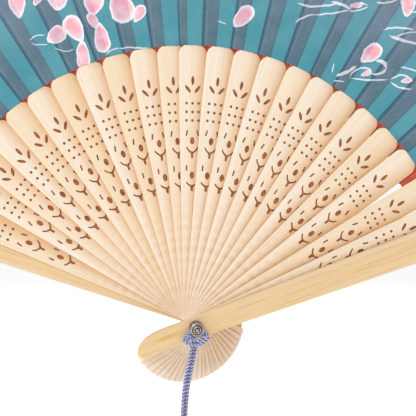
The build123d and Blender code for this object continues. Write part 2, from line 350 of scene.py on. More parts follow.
camera = bpy.data.objects.new("camera", bpy.data.cameras.new("camera"))
bpy.context.scene.collection.objects.link(camera)
bpy.context.scene.camera = camera
camera.location = (-0.02393, -0.21454, 0.05054)
CAMERA_WAY = Vector((0.13982, 0.98923, -0.04333))
CAMERA_ROLL = math.radians(-0.68)
camera.rotation_mode = "QUATERNION"
camera.rotation_quaternion = CAMERA_WAY.to_track_quat("-Z", "Y") @ Quaternion((0.0, 0.0, 1.0), CAMERA_ROLL)
camera.data.sensor_width = 36.0
camera.data.lens = 51.19
camera.data.clip_start = 0.01
camera.data.clip_end = 60.0


def softbox(name, place, target, size, power):
    lamp = bpy.data.lights.new(name, "AREA")
    lamp.shape = "DISK"
    lamp.size = size
    lamp.energy = power
    light = bpy.data.objects.new(name, lamp)
    light.location = place
    light.rotation_mode = "QUATERNION"
    light.rotation_quaternion = (Vector(target) - Vector(place)).to_track_quat("-Z", "Y")
    bpy.context.scene.collection.objects.link(light)


softbox("key", (-0.75, -0.85, 0.95), (0, 0, 0.08), 0.45, 7.6)
softbox("back_light", (0.5, 1.1, 0.9), (0, 0, 0.08), 0.8, 5.5)

world = bpy.data.worlds.new("studio")
world.use_nodes = True
bpy.context.scene.world = world
sky = Graph(world.node_tree)
seen = sky.node("ShaderNodeLightPath", None, None, "Is Camera Ray")
sky.join(0.52 + seen * 0.48, world.node_tree.nodes["Background"].inputs["Strength"])
world.node_tree.nodes["Background"].inputs["Color"].default_value = (1.0, 1.0, 1.0, 1.0)
bpy.context.scene.view_settings.view_transform = "Standard"

FLOOR_GLOW = {"Emission_Color": (1.0, 1.0, 1.0, 1.0), "Emission_Strength": 0.44}
floor_finish = Finish("pale_floor", Roughness=0.9, **FLOOR_GLOW)
grains = floor_finish.noise(floor_finish.place(), 3.0)
floor_tint = floor_finish.mix(grains, (0.93, 0.93, 0.93, 1.0), (0.96, 0.96, 0.96, 1.0))
FLOOR_HALF = 15.0
FLOOR_HEIGHT = -0.30
corners = [(-1, -1), (1, -1), (1, 1), (-1, 1)]
floor_points = [(x * FLOOR_HALF, y * FLOOR_HALF, FLOOR_HEIGHT) for x, y in corners]
pale_floor = floor_finish.put(Base_Color=floor_tint)
floor = make_object("floor", make_mesh("floor", floor_points, [(0, 1, 2, 3)], [pale_floor]))


# ---------------------------------------------------------------- finishes


def bamboo(name, pale, warm, grain_and_shade, streak, roughness, relief, rim=None):
    """Split bamboo. It reads the stick's own map, along and across it in tenths of a metre."""
    finish = Finish(name, IOR=1.45)
    along, across, _ = finish.split(finish.uv("stick"))
    along, across = along * 100, across * 100
    tone = finish.attribute("tone")
    tuck = finish.attribute("tuck")
    fibre_place = finish.point(along * 0.035, across * 2.4, tone * 37)
    fibres = finish.noise(fibre_place, 1.0, 3.0, 0.6)
    bands = finish.noise(finish.point(along * 0.012, across * 0.55, tone * 53 + 4), 1.0, 2.0)
    pores = finish.noise(finish.point(along * 0.5, across * 7.0, tone * 11), 1.0, 2.0, 0.7)
    base = finish.mix(finish.ease(tone, 0.0, 1.0), pale, warm)
    base = finish.wash(base, bands, 0.35, 0.75, 0.45, warm)
    base = finish.wash(base, fibres, 0.50, 0.74, streak, grain_and_shade)
    base = finish.wash(base, pores, 0.60, 0.80, 0.16, grain_and_shade)
    # painted shade: darker colour where the next stick lies over this one, as strong as the tuck attribute
    base = finish.mix(tuck, base, grain_and_shade)
    if rim is not None:
        honey = finish.ease((along + 10.2) ** 2 / 20 + (across - 0.6 - along * 0.02) ** 2 / 0.5, 1.6, 0.2)
        base = finish.mix(honey * 0.6, base, paint(226, 170, 72))
        # painted highlight: the stick's side more than 2.2 mm left of its middle line washed lighter and
        # pinker, the lit upper edge on the front guard
        base = finish.wash(base, across, 2.2, 5.4, 0.55, rim)
    height = fibres + pores * 0.5
    rough = roughness + fibres * 0.12
    return finish.done(base, rough, height, relief, 0.0002)


rib_bamboo = bamboo(
    "rib_bamboo", paint(250, 234, 215), paint(245, 220, 184), paint(226, 178, 126), 0.30, 0.42, 0.25
)
# The guards' last colour is the painted highlight along their left side.
guard_bamboo = bamboo(
    "guard_bamboo", paint(240, 210, 164), paint(231, 193, 137), paint(198, 146, 86), 0.75, 0.38, 0.35,
    paint(240, 214, 186),
)


# The sunk marks' walls and floors: the burnt brown of laser-cut marks, and painted shade standing for what
# shows through a pierced hole.
def burnt_and_shaded_finish():
    finish = Finish("burnt_bamboo", IOR=1.4)
    along, across, _ = finish.split(finish.uv("stick"))
    place = finish.point(along * 100, across * 100, finish.attribute("tone") * 29)
    patches = finish.noise(place, 0.9, 3.0)
    colour = finish.mix(finish.ease(patches, 0.35, 0.7), paint(150, 84, 44), paint(186, 118, 74))
    soot = finish.ease(finish.noise(place, 3.5, 2.0), 0.55, 0.8) * 0.5
    colour = finish.mix(soot, colour, paint(96, 50, 28))
    return finish.done(colour, 0.7 + patches * 0.15, patches, 0.4, 0.0002)


burnt_bamboo = burnt_and_shaded_finish()


def metal_finish(name, bright, dark, grooves):
    """Antique plated metal, dull in the grooves that run round the rivet at these radii, in mm."""
    finish = Finish(name, Metallic=0.85, IOR=1.9)
    place = finish.place()
    x, _, z = finish.split(place)
    radius = (x * x + z * z).maths("SQRT") * 1000
    dirt = finish.noise(place, 900.0, 3.0, 0.6) * 0.5
    for groove in grooves:
        dirt = dirt.top(finish.ease(abs(radius - groove), 0.34, 0.08))
    colour = finish.mix(dirt, bright, dark)
    return finish.done(colour, 0.28 + dirt * 0.35, dirt, 0.2, 0.0001)


cap_metal = metal_finish("cap_metal", paint(206, 196, 186), paint(66, 50, 44), (0.75, 1.62))
pin_metal = metal_finish("pin_metal", paint(190, 180, 170), paint(80, 66, 58), ())


def cord_finish(name, light, deep, low_tint, gloss):
    """Twisted rayon cord. along is the distance down the cord and ply the number of the ply."""
    finish = Finish(name, IOR=1.45)
    along, ply = finish.attribute("along"), finish.attribute("ply")
    place = finish.place()
    strands = finish.noise(finish.vector("MULTIPLY", place, (1.0, 1.0, 0.35)), 2600.0, 2.0, 0.6)
    sheen_runs = finish.noise(finish.point(along * 160, ply * 7.3, 0.0), 1.0, 2.0)
    ridge = finish.attribute("ridge")
    # painted light and shade: lighter on the plies' crests, darker in their grooves and where the two
    # strands lie against each other
    painted_lighting = (finish.ease(strands, 0.30, 0.7) * 0.35 + ridge * 0.65) * (1 - finish.attribute("core") * 0.85)
    colour = finish.mix(painted_lighting, deep, light)
    # painted sheen highlights in streaks on the plies' crests
    colour = finish.mix(finish.ease(sheen_runs, 0.4, 0.75) * ridge * 0.45, colour, paint(222, 212, 232))
    colour = finish.wash(colour, along, 0.012, 0.036, 0.45, low_tint)
    return finish.done(colour, gloss + strands * 0.2, strands, 0.6, 0.0002)


cord_blue = cord_finish(
    "cord_lavender_blue", paint(192, 200, 240), paint(48, 46, 112), paint(176, 142, 168), 0.35
)
tassel_silk = cord_finish(
    "tassel_lavender", paint(206, 198, 226), paint(150, 138, 186), paint(190, 168, 196), 0.30
)


def bead_finish():
    finish = Finish("bead_glass", IOR=1.5, Coat_Weight=0.6, Coat_Roughness=0.05)
    place = finish.place()
    clouds = finish.noise(place, 260.0, 3.0)
    swirl = finish.noise(finish.vector("MULTIPLY", place, (1.0, 1.0, 4.0)), 420.0, 2.0)
    colour = finish.mix(finish.ease(clouds, 0.35, 0.7), paint(70, 128, 150), paint(150, 196, 206))
    colour = finish.wash(colour, swirl, 0.58, 0.66, 0.6, paint(232, 238, 240))
    return finish.put(Base_Color=colour, Roughness=0.12 + clouds * 0.08)


bead_glass = bead_finish()


# ---------------------------------------------------------------- sticks


def arc(start, end, radius, count):
    """Points on an arc from start to end that bulges to the right of the way there."""
    a, b = Vector(start), Vector(end)
    chord = b - a
    side = Vector((-chord.y, chord.x)).normalized()
    centre = (a + b) / 2 + side * math.sqrt(radius**2 - (chord.length / 2) ** 2)
    first = math.atan2(a.y - centre.y, a.x - centre.x)
    last = math.atan2(b.y - centre.y, b.x - centre.x)
    if last < first:
        last += 2 * math.pi
    turns = [first + (last - first) * k / count for k in range(count + 1)]
    return [(centre.x + radius * math.cos(t), centre.y + radius * math.sin(t)) for t in turns]


def spaced(points, gap):
    """A closed loop through these corners with a point at least every gap."""
    loop = []
    for (x0, y0), (x1, y1) in zip(points, points[1:] + points[:1]):
        count = max(1, round(math.hypot(x1 - x0, y1 - y0) / gap))
        loop += [(x0 + (x1 - x0) * k / count, y0 + (y1 - y0) * k / count) for k in range(count)]
    return loop


def grown_loop(loop, distance):
    """A counterclockwise loop moved outwards by a small distance."""
    moved = []
    for before, here, after in zip(loop[-1:] + loop[:-1], loop, loop[1:] + loop[:1]):
        first = Vector((here[1] - before[1], before[0] - here[0])).normalized()
        second = Vector((after[1] - here[1], here[0] - after[0])).normalized()
        out = (first + second).normalized()
        out *= distance / max(0.5, out.dot(first))
        moved.append((here[0] + out.x, here[1] + out.y))
    return moved


def inside(loop, x, y):
    hit = False
    for (x0, y0), (x1, y1) in zip(loop, loop[1:] + loop[:1]):
        if (y0 > y) != (y1 > y) and x < (x1 - x0) * (y - y0) / (y1 - y0) + x0:
            hit = not hit
    return hit


BURN_DEPTH = 0.30
BURN_LIP = 0.07
EDGE_STEPS = 3
STICK_SHARP = math.radians(38)


def plate(outline, marks, holes, front, back, edge, gap, crown=0.0, half_width=None):
    """A flat stick with rounded edges, in mm: x along it, y through it and z across it.

    outline, marks and holes are counterclockwise loops of (along, across). front(along) and
    back(along) are the two faces' distances from the middle plane. Marks are sunk into both faces.
    """
    inner = grown_loop(outline, -edge)
    lips = [grown_loop(mark, BURN_LIP) for mark in marks]
    loops = [inner] + lips + holes
    flat = [p for loop in loops for p in loop]
    xs, ys = [p[0] for p in inner], [p[1] for p in inner]
    kept = np.array(flat)
    x, row = min(xs) + gap / 2, 0
    while x < max(xs):
        y = min(ys) + gap / 2 * (1 + row % 2)
        while y < max(ys):
            clear = np.min(np.hypot(kept[:, 0] - x, kept[:, 1] - y)) > gap * 0.45
            if clear and inside(inner, x, y) and not any(inside(m, x, y) for m in lips + holes):
                flat.append((x, y))
            y += gap
        x, row = x + gap * 0.9, row + 1
    firsts, total = [], 0
    for loop in loops:
        firsts.append(total)
        total += len(loop)
    rims = [list(range(f, f + len(loop))) for f, loop in zip(firsts, loops)]
    made = delaunay_2d_cdt([Vector(p) for p in flat], [], rims, 1, 1e-6)
    spots, triangles, came_from, within = made[0], made[2], made[3], made[5]
    now = {old: new for new, olds in enumerate(came_from) for old in olds}
    points, faces, burnt = [], [], []

    def add_ring(loop, depths):
        ring = list(range(len(points), len(points) + len(loop)))
        points.extend((p[0], y, p[1]) for p, y in zip(loop, depths))
        return ring

    def add_strip(upper, lower, outwards, side, mark=0):
        for i in range(len(upper)):
            n = (i + 1) % len(upper)
            face = [lower[i], lower[n], upper[n], upper[i]]
            faces.append(face if outwards == (side < 0) else face[::-1])
            burnt.append(mark)

    for side, depth in ((-1, front), (1, back)):
        first = len(points)

        def face_depth(p):
            bend = 0.0
            if crown:
                lean, half = half_width(p[0])
                bend = crown * min(1.0, abs((p[1] - lean) / half)) ** 3
            return depth(p[0]) - bend

        points.extend((p[0], side * face_depth(p), p[1]) for p in spots)
        for triangle, owners in zip(triangles, within):
            if all(owner == 0 for owner in owners):
                face = [first + v for v in triangle]
                faces.append(face if side < 0 else face[::-1])
                burnt.append(0)
        upper = [first + now[v] for v in rims[0]]
        for k in range(1, EDGE_STEPS + 1):
            turn = math.pi / 2 * k / EDGE_STEPS
            loop = grown_loop(inner, edge * math.sin(turn)) if k < EDGE_STEPS else outline
            drop = edge * (1 - math.cos(turn))
            lower = add_ring(loop, [side * (face_depth(p) - drop) for p in inner])
            add_strip(upper, lower, True, side)
            upper = lower
        add_strip(upper, add_ring(outline, [0.0] * len(outline)), True, side)
        for number, mark in enumerate(marks):
            rim = [first + now[v] for v in rims[1 + number]]
            sunk = [side * (face_depth(p) - BURN_LIP) for p in mark]
            lip_ring = add_ring(mark, sunk)
            add_strip(rim, lip_ring, False, side)
            floor_ring = add_ring(mark, [side * (face_depth(p) - BURN_DEPTH) for p in mark])
            add_strip(lip_ring, floor_ring, False, side, 1)
            faces.append(floor_ring if side < 0 else floor_ring[::-1])
            burnt.append(1)
        for number, hole in enumerate(holes):
            rim = [first + now[v] for v in rims[1 + len(marks) + number]]
            add_strip(rim, add_ring(hole, [0.0] * len(hole)), False, side)
    return points, faces, burnt


def joined_plates(parts):
    points, faces, burnt = [], [], []
    for some_points, some_faces, some_burnt in parts:
        faces += [[v + len(points) for v in face] for face in some_faces]
        points += some_points
        burnt += some_burnt
    return points, faces, burnt


def stick_blank(name, shape, tuck_shade_of, tilt_of):
    """The mesh of a stick lying along X, with its map and its tuck shade.

    The tuck shade is painted shade where the next stick lies over this one.
    """
    points, faces, burnt = shape
    placed = [(x * MM, (y - tilt_of(x) * z) * MM, z * MM) for x, y, z in points]
    corners = [(points[v][0] / 100, points[v][2] / 100) for face in faces for v in face]
    mesh = make_mesh(name, placed, faces, maps={"stick": corners})
    tuck = mesh.attributes.new("tuck", "FLOAT", "POINT")
    tuck.data.foreach_set("value", [tuck_shade_of(p[0], p[2]) for p in points])
    marked = mesh.attributes.new("burnt", "FLOAT", "FACE")
    marked.data.foreach_set("value", [float(b) for b in burnt])
    shape = bmesh.new()
    shape.from_mesh(mesh)
    bmesh.ops.remove_doubles(shape, verts=shape.verts, dist=1e-7)
    shape.to_mesh(mesh)
    shape.free()
    mesh.set_sharp_from_angle(angle=STICK_SHARP)
    return mesh


def swung(middle, tilt, x, y):
    """A mark's point, turned by tilt degrees and moved to the mark's middle."""
    c, s = direction(tilt)
    return middle[0] + x * c - y * s, middle[1] + x * s + y * c


def ellipse(middle, half_length, half_width, tilt=0.0, count=16, power=1.0):
    """A counterclockwise loop; a power above 1 draws its ends out to points."""
    loop = []
    for k in range(count):
        t = 2 * math.pi * k / count
        rise = math.copysign(abs(math.sin(t)) ** power, math.sin(t))
        loop.append(swung(middle, tilt, half_length * math.cos(t), half_width * rise))
    return loop


def slit(middle, length, width, tilt):
    half, radius, loop = (length - width) / 2, width / 2, []
    for end in (1, -1):
        for k in range(5):
            t = math.pi * (k / 4 - 0.5)
            x, y = end * (half + radius * math.cos(t)), end * radius * math.sin(t)
            loop.append(swung(middle, tilt, x, y))
    return loop


def cup(meeting, lean, rise, reach, line, stem, stem_width):
    """A bud's cup: two arms that curve up from a short stem."""

    def arm(t):
        return (rise * (0.45 * t + 0.55 * t * t), reach * (1 - (1 - t) ** 1.35))

    lower, upper = [], []
    for k in range(1, 8):
        t = k / 7
        (x0, y0), (x1, y1) = arm(t - 0.05), arm(min(1.0, t + 0.05))
        way = Vector((x1 - x0, y1 - y0)).normalized()
        x, y = arm(t)
        half = line / 2 * (1 - 0.25 * t)
        lower.append((x - way.y * half, y + way.x * half))
        upper.append((x + way.y * half, y - way.x * half))
    tip = arm(1.0)
    root = -line * 0.45
    lower = [p for p in lower if p[1] > stem_width / 2 + 0.12 and p[0] > root]
    upper = [p for p in upper if p[1] > 0.12 and p[0] > line * 0.45]
    side = stem_width / 2
    left = [(-stem, side * 0.62), (-stem + 0.22, side * 0.92), (root - 0.15, side)]
    left += lower + [(tip[0] + line * 0.26, tip[1] + line * 0.10)] + upper[::-1]
    loop = [(-stem - 0.14, 0.0)] + left + [(line * 0.42, 0.0)] + [(x, -y) for x, y in left[::-1]]
    return [(meeting + x, lean + y) for x, y in loop]


def counterclockwise(loop):
    area = sum(a[0] * b[1] - b[0] * a[1] for a, b in zip(loop, loop[1:] + loop[:1]))
    return loop if area > 0 else loop[::-1]


# A rib: (along, half width) down its side, leaning to the left of the pin above the neck
HEAD_END, HEAD_HALF = -22.5, 3.60
NECK_HALF = 3.05
BELLY_AT, BELLY_HALF = 77.0, 4.90
SHOULDER_AT, SHOULDER_HALF = 96.1, 5.15
SHOULDER_END, SHOULDER_TOP_HALF, SHOULDER_ROUND = 100.0, 3.10, 3.90
LEAN = 0.60
RIB_HALF_THICK = 0.375
PIN_HOLE = 1.55
SLIP_ROOT, SLIP_END, SLIP_HALF, SLIP_TIP_HALF = 99.85, 187.0, 1.75, 1.25


def rib_width(along):
    """A rib's lean and half width at a place along it."""
    places = [HEAD_END, HEAD_END + 3.6, 0.0, BELLY_AT, SHOULDER_AT, SHOULDER_END]
    halves = [1.5, HEAD_HALF, NECK_HALF, BELLY_HALF, SHOULDER_HALF, SHOULDER_TOP_HALF]
    lean = np.interp(along, [0.0, BELLY_AT], [0.0, LEAN])
    return float(lean), float(np.interp(along, places, halves))


HEAD_SWEEP, HEAD_CORNER, HEAD_TIP = 11.0, 1.0, -1.5


def head_curve(end, left_half, right_half):
    """A stick's lower end, from its left side round to its right: a long sweep, then a short corner."""
    curve = []
    for k in range(17):
        turn = math.pi * k / 16
        first = turn < math.pi / 2
        reach = HEAD_SWEEP if first else HEAD_CORNER
        half = left_half - HEAD_TIP if first else right_half + HEAD_TIP
        curve.append((end + reach * (1 - math.sin(turn)), HEAD_TIP + half * math.cos(turn)))
    return curve


def rib_outline():
    right = [(0.0, -NECK_HALF), (BELLY_AT, LEAN - BELLY_HALF)]
    sides = [(SHOULDER_AT, LEAN - SHOULDER_HALF), (SHOULDER_END, LEAN - SHOULDER_TOP_HALF)]
    corner = arc(*sides, SHOULDER_ROUND, 8)
    sides = [(SHOULDER_END, LEAN + SHOULDER_TOP_HALF), (SHOULDER_AT, LEAN + SHOULDER_HALF)]
    far = arc(*sides, SHOULDER_ROUND, 8)
    left = [(BELLY_AT, LEAN + BELLY_HALF), (0.0, NECK_HALF)]
    side = NECK_HALF + (HEAD_HALF - NECK_HALF) * (HEAD_END + HEAD_SWEEP) / (HEAD_END + HEAD_HALF)
    return spaced(right + corner + far + left + head_curve(HEAD_END, side, HEAD_HALF), 1.5)


def rib_marks():
    marks = [ellipse((87.4, LEAN), 1.65, 0.56, power=1.25)]
    for side in (1, -1):
        marks.append(ellipse((84.3, LEAN + side * 1.75), 1.65, 0.54, side * 38.0, power=1.25))
        marks.append(slit((68.5, LEAN + side * 2.0), 2.2, 0.56, -side * 12.0))
        marks.append(slit((55.8, LEAN + side * 2.0), 2.2, 0.52, 0.0))
    for row in (-1, 0, 1):
        for column in (-1, 0, 1):
            marks.append(ellipse((76.1 + 3.1 * row, LEAN + 2.2 * column), 0.52, 0.48, count=10))
    for place in (65.7, 53.2):
        marks.append(ellipse((place, LEAN), 1.35, 0.80, power=1.15))
    marks.append(cup(61.4, LEAN, 1.9, 1.95, 0.62, 1.9, 0.80))
    marks.append(cup(49.3, LEAN, 1.3, 1.95, 0.66, 1.8, 0.95))
    return [counterclockwise(mark) for mark in marks]


def circle(radius, count=32):
    return ellipse((0.0, 0.0), radius, radius, count=count)


USUAL_STEP = math.radians(5.85)
RIB_TILT = 0.03


def rib_tuck_shade(along, across):
    """How strongly shade is painted at a point, from how close it is to the edge of the rib that lies over
    this one, from 0 to 1.
    """
    if along > SHOULDER_END:
        return 0.15
    lean, half = rib_width(along)
    if along > 0:
        width = max(1.2, USUAL_STEP * along)
        clear = across - (lean + half - width)
        if along > 60:
            clear = min(clear, across - (lean - half) + 0.4)
    else:
        width = max(1.2, USUAL_STEP * -along)
        clear = width - half - across
    share = clear / (0.62 * min(width, 9.0))
    return 0.85 * (1 - min(1.0, max(0.0, share))) ** 1.4


def rib_tilt(along):
    return RIB_TILT * float(np.interp(along, [12.0, 45.0, 99.0, 101.0], [0.0, 1.0, 1.0, 0.0]))


slip_corners = [
    (SLIP_ROOT, LEAN - SLIP_HALF),
    (SLIP_END, LEAN - SLIP_TIP_HALF),
    (SLIP_END, LEAN + SLIP_TIP_HALF),
    (SLIP_ROOT, LEAN + SLIP_HALF),
]
rib_body = plate(
    rib_outline(), rib_marks(), [circle(PIN_HOLE)],
    lambda along: RIB_HALF_THICK, lambda along: RIB_HALF_THICK, 0.22, 2.2, 0.10, rib_width,
)
SLIP_MIDDLE, SLIP_HALF_THICK = 0.20, 0.175
slip_body = plate(
    spaced(slip_corners, 4.0), [], [],
    lambda along: SLIP_HALF_THICK, lambda along: SLIP_HALF_THICK, 0.10, 3.0,
)
slip_body = ([(x, y + SLIP_MIDDLE, z) for x, y, z in slip_body[0]], slip_body[1], slip_body[2])
rib_blank = stick_blank("rib_blank", joined_plates([rib_body, slip_body]), rib_tuck_shade, rib_tilt)

turning = Growth("turn_stick", Angle=float, Level=float, Tone=float)
spin = turning.point(0.0, turning.given["Angle"] * -1.0, 0.0)
lift = turning.point(0.0, turning.given["Level"], 0.0)
turn_sockets = {"Geometry": turning.start, "Translation": lift, "Rotation": spin}
turned = turning.node("GeometryNodeTransform", None, turn_sockets)
turned = turning.store(turned, "tone", turning.given["Tone"])
turn_stick = turning.finish(turned, rib_bamboo, burnt_bamboo, "burnt")

RIB_TONES = [0.55, 0.15, 0.50, 0.10, 0.62, 0.30, 0.75, 0.12, 0.68, 0.22, 0.48, 0.20,
             0.10, 0.30, 0.12, 0.35, 0.18, 0.42, 0.15, 0.55, 0.25, 0.60, 0.40]
for number, tone in enumerate(RIB_TONES, 1):
    given = {"Angle": math.radians(stick_angles[number]), "Level": levels[number] * MM, "Tone": tone}
    name = f"rib_{number:02d}"
    stick = make_object(f"bamboo_{name}", grow(turn_stick, given, rib_blank))
    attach(stick, name)
    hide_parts(name)


# ---------------------------------------------------------------- guards

GUARD_HEAD, GUARD_NECK_HALF, GUARD_HALF = -21.5, 3.65, 6.0
GUARD_WIDE_AT, GUARD_END, GUARD_HALF_THICK = 100.0, 192.0, 1.0
SEAT_RADIUS, SEAT_DEPTH = 3.2, 0.30
RECESS_FROM = 99.7


def guard_width(along):
    halves = [1.5, GUARD_NECK_HALF, GUARD_NECK_HALF, GUARD_HALF, GUARD_HALF, 2.0]
    places = [GUARD_HEAD, GUARD_HEAD + 3.65, 0.0, GUARD_WIDE_AT, GUARD_END - GUARD_HALF, GUARD_END]
    return 0.0, float(np.interp(along, places, halves))


def guard_outline():
    tip = GUARD_END - GUARD_HALF
    turns = [math.pi * k / 16 for k in range(17)]
    far = [(tip + GUARD_HALF * math.sin(t), -GUARD_HALF * math.cos(t)) for t in turns]
    near = head_curve(GUARD_HEAD, GUARD_NECK_HALF, GUARD_NECK_HALF)
    right = [(0.0, -GUARD_NECK_HALF), (GUARD_WIDE_AT, -GUARD_HALF)]
    left = [(GUARD_WIDE_AT, GUARD_HALF), (0.0, GUARD_NECK_HALF)]
    return spaced(right + far + left + near, 1.6)


def make_guard(name, number, recess, outer_side):
    """A guard, its inner face set back by recess beside the leaf.

    outer_side is -1 where the outer face looks to the front.
    """
    low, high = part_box(name)

    def outer(along):
        return GUARD_HALF_THICK

    def inner(along):
        share = float(np.interp(along, [RECESS_FROM - 0.3, RECESS_FROM], [0, 1]))
        return GUARD_HALF_THICK - recess * share

    faces = (outer, inner) if outer_side < 0 else (inner, outer)
    shape = plate(guard_outline(), [], [circle(PIN_HOLE)], *faces, 0.35, 2.4, 0.16, guard_width)
    blank = stick_blank(f"{name}_blank", shape, lambda along, across: 0.0, lambda along: 0.0)
    for vertex in blank.vertices:  # the washer's seat, sunk into the outer face
        if math.hypot(vertex.co.x, vertex.co.z) < SEAT_RADIUS * MM and vertex.co.y * outer_side > 0.5 * MM:
            vertex.co.y -= outer_side * SEAT_DEPTH * MM
    given = {"Angle": math.radians(stick_angles[number]), "Level": (low.y + high.y) / 2, "Tone": 0.35}
    mesh = grow(turn_stick, given, blank)
    mesh.materials.clear()
    mesh.materials.append(guard_bamboo)
    guard = make_object(f"bamboo_{name}", mesh)
    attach(guard, name)
    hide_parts(name)


make_guard("back_guard", 0, 0.40, 1)
make_guard("front_guard", last_stick, 0.50, -1)


# ---------------------------------------------------------------- rivet

low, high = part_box("rivet_cap")
CAP_FRONT, CAP_BACK = low.y / MM, high.y / MM
CAP_STEPS = [  # radius, and how far in front of the cap's back
    (0.0, 0.0), (2.15, 0.0), (2.42, 0.12), (2.45, 0.40), (2.32, 0.72), (2.05, 0.95), (1.80, 1.00),
    (1.62, 0.88), (1.44, 1.02), (1.25, 1.32), (1.02, 1.42), (0.86, 1.28), (0.74, 1.24), (0.60, 1.45),
]
cap_profile = [(radius, CAP_BACK - ahead) for radius, ahead in CAP_STEPS]
cap_profile += [(0.36, CAP_FRONT + 0.05), (0.0, CAP_FRONT)]
cap = lathe("rivet_cap_turned", cap_profile, (0, 0, 0), "Y", cap_metal)
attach(cap, "back_guard")
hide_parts("rivet_cap")

low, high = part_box("pivot_pin")
PIN_RADIUS = 1.5
REAR_HEAD_HALF, REAR_HEAD_HEIGHT = (high.z - low.z) / 2 / MM, 1.30
DOME_SHARE = 0.92  # the part of the rear head's height that is domed
dome = high.y / MM
PIN_NECK, NECK_FROM = 0.95, -12.70
pin_profile = [(0.0, low.y / MM), (PIN_NECK, low.y / MM), (PIN_NECK, NECK_FROM), (PIN_RADIUS, NECK_FROM)]
pin_profile.append((PIN_RADIUS, dome - REAR_HEAD_HEIGHT))
pin_profile.append((REAR_HEAD_HALF - 0.1, dome - REAR_HEAD_HEIGHT))
pin_profile.append((REAR_HEAD_HALF, dome - REAR_HEAD_HEIGHT * DOME_SHARE))
for k in range(1, 8):
    turn = math.pi / 2 * k / 8
    height = REAR_HEAD_HEIGHT * (1 - DOME_SHARE * math.sin(turn)) * DOME_SHARE
    pin_profile.append((REAR_HEAD_HALF * math.cos(turn), dome - height))
pin_profile.append((0.0, dome))
pin = lathe("rivet_pin_turned", pin_profile, (0, 0, 0), "Y", pin_metal)
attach(pin, "back_guard")
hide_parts("pivot_pin")

washers = frame["nodes"]["pivot_washers"]
washers.data.materials.clear()
washers.data.materials.append(pin_metal)


# ---------------------------------------------------------------- leaf

LEAF_INNER, LEAF_OUTER = 100.15, 190.0
LIGHT_HALF = 1.45
CLOTH_HALF = 0.045
GLUED = -0.03
FOLD_BACK = 0.43


def leaf_rows(i):
    """Across one pleat, from left to right: angle, sideways shift and depth of each row."""
    left, right = stick_angles[i], stick_angles[i + 1]
    near, far = levels[i] + GLUED, levels[i + 1] + GLUED
    rows = []
    if i == 0:
        rows.append((left + LIGHT_HALF, 0.0, near - 0.05))
    rows.append((left, 0.0, near))
    rows.append((left - LIGHT_HALF, 0.0, near + 0.05))
    rows.append((right + LIGHT_HALF, 0.06, levels[i + 1] + FOLD_BACK))
    rows.append((right + LIGHT_HALF, 0.0, far - 0.07))
    rows.append((right, 0.0, far))
    if i == last_stick - 1:
        rows.append((right - LIGHT_HALF, 0.0, far + 0.03))
    return rows


def panel_codes(i):
    """Each strip's left and right place across its panel: 0 to 1 where glued, 2 to 3 where folded."""
    codes = [(0.5, 1.0), (2.0, 3.0), (0.0, 0.0), (0.0, 0.5)]
    if i == 0:
        codes.insert(0, (0.0, 0.5))
    if i == last_stick - 1:
        codes.append((0.5, 1.0))
    return codes


RADIAL_STEPS = 14
radii = [LEAF_INNER + (LEAF_OUTER - LEAF_INNER) * k / RADIAL_STEPS for k in range(RADIAL_STEPS + 1)]


def leaf_mesh(name, i, front_cloth, back_cloth):
    rows, codes = leaf_rows(i), panel_codes(i)
    across = len(rows)
    points, spots = [], []
    for side in (-1, 1):
        for radius in radii:
            for angle, shift, depth in rows:
                c, s = direction(angle)
                sideways = shift - side * 0.03 if shift else 0.0
                x, z = radius * c - sideways * s, radius * s + sideways * c
                points.append((x * MM, (depth + side * CLOTH_HALF) * MM, z * MM))
                spots.append((x / 100, z / 100))
    layer = across * len(radii)
    faces, finish_of, printed, folded = [], [], [], []

    def add(face, finish, code):
        faces.append(face)
        finish_of.append(finish)
        printed.extend(spots[v] for v in face)
        folded.extend(code)

    for k in range(RADIAL_STEPS):
        for j in range(across - 1):
            a, b = k * across + j, (k + 1) * across + j
            low_r, high_r = radii[k] / 100, radii[k + 1] / 100
            first, last = codes[j]
            face = [a, b, b + 1, a + 1]
            code = [(first, low_r), (first, high_r), (last, high_r), (last, low_r)]
            add(face[::-1], 0, code[::-1])
            add([v + layer for v in face], 1, code)
    rim = [(k * across, (k + 1) * across) for k in range(RADIAL_STEPS)]
    rim += [(RADIAL_STEPS * across + j, RADIAL_STEPS * across + j + 1) for j in range(across - 1)]
    rim += [((k + 1) * across + across - 1, k * across + across - 1) for k in range(RADIAL_STEPS)][::-1]
    rim += [(j + 1, j) for j in range(across - 1)][::-1]
    for a, b in rim:
        radius_a, radius_b = (math.hypot(*spots[v]) for v in (a, b))
        face = [a, b, b + layer, a + layer]
        add(face, 1, [(0.5, radius_a), (0.5, radius_b), (0.5, radius_b), (0.5, radius_a)])
    maps = {"print": printed, "fold": folded}
    cloths = [front_cloth, back_cloth]
    return face_outwards(make_mesh(name, points, faces, cloths, finish_of, maps, smooth=False))


# The print, in mm on the open leaf. Petals: middle, way to the tip in degrees, half length, half width
PETALS = [
    (-60.2, 114.6, 99, 5.1, 3.8), (-52.6, 116.8, 59, 3.5, 2.0), (-33.6, 115.1, 84, 4.8, 4.4),
    (-46.1, 117.0, 89, 4.9, 5.2), (-40.4, 105.9, 120, 5.0, 4.0), (-47.0, 103.5, 35, 3.9, 3.5),
    (-37.7, 96.6, -86, 5.4, 2.9), (-33.7, 108.6, 120, 3.4, 2.1), (-30.9, 102.7, -80, 5.4, 3.3),
    (-23.8, 113.9, -70, 6.2, 5.3), (-17.5, 111.3, 60, 3.5, 2.4), (19.9, 110.4, 45, 4.9, 3.5),
    (66.9, 97.1, 40, 4.8, 3.6), (81.2, 114.8, 80, 4.0, 3.4),
    (65.0, 89.9, 20, 2.2, 1.2), (80.2, 87.3, 15, 2.3, 1.3), (61.8, 115.0, 10, 2.4, 1.3),
]
